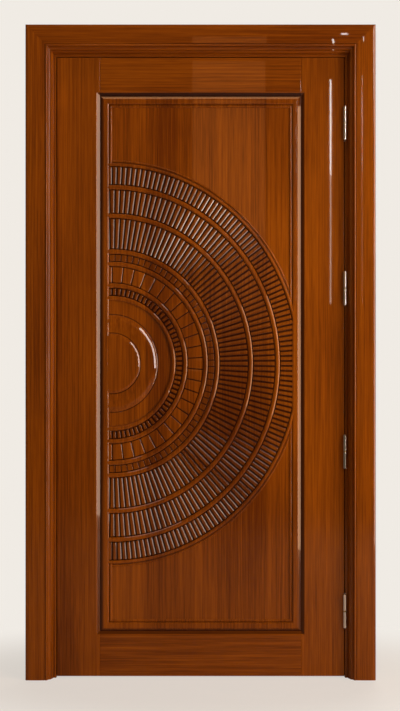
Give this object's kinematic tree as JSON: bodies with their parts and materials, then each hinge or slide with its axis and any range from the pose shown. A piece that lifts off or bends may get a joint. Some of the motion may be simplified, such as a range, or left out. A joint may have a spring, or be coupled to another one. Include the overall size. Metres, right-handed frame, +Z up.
{
  "type": "carved panel door",
  "caption": "Lacquered timber panel door with a half sunburst carved in its sunk panel, hung on steel lift-off hinges in a rebated, moulded frame with mitred casing.",
  "frame": {"origin": "on the floor, in the middle of the frame's overall width and depth", "axes": "+Z up, +X towards the hinge side as seen from the front, -Y out of the carved face towards the viewer"},
  "size_m": [1.198, 0.135, 2.242],
  "materials": {
    "frame_wood": "red-brown stain under gloss lacquer",
    "leaf_wood": "red-brown stain under gloss lacquer",
    "panel_wood": "red-brown stain under gloss lacquer",
    "hinge_steel": "bright satin",
    "screw_steel": "zinc plated",
    "washer_brass": "plain"
  },
  "bodies": {
    "frame": {"hinge_jamb": "frame_wood", "closing_jamb": "frame_wood", "frame_head": "frame_wood", "hinge_side_casing": "frame_wood", "closing_side_casing": "frame_wood", "head_casing": "frame_wood", "frame_corner_screws": "screw_steel", "frame_hinge_screws": "screw_steel", "hinge_1_frame_leaf": "hinge_steel", "hinge_2_frame_leaf": "hinge_steel", "hinge_3_frame_leaf": "hinge_steel", "hinge_4_frame_leaf": "hinge_steel", "hinge_1_pin": "hinge_steel", "hinge_2_pin": "hinge_steel", "hinge_3_pin": "hinge_steel", "hinge_4_pin": "hinge_steel", "hinge_1_washer": "washer_brass", "hinge_2_washer": "washer_brass", "hinge_3_washer": "washer_brass", "hinge_4_washer": "washer_brass"},
    "leaf": {"hinge_stile": "leaf_wood", "closing_stile": "leaf_wood", "top_rail": "leaf_wood", "bottom_rail": "leaf_wood", "carved_panel": "panel_wood", "door_hinge_screws": "screw_steel", "hinge_1_door_leaf": "hinge_steel", "hinge_2_door_leaf": "hinge_steel", "hinge_3_door_leaf": "hinge_steel", "hinge_4_door_leaf": "hinge_steel"}
  },
  "joints": [
    {"name": "leaf_swing", "type": "hinge", "parent": "frame", "child": "leaf", "pos_m": [0.4965, -0.035, 1.072], "axis": [0, 0, 1], "range_deg": [0, 120]}
  ]
}
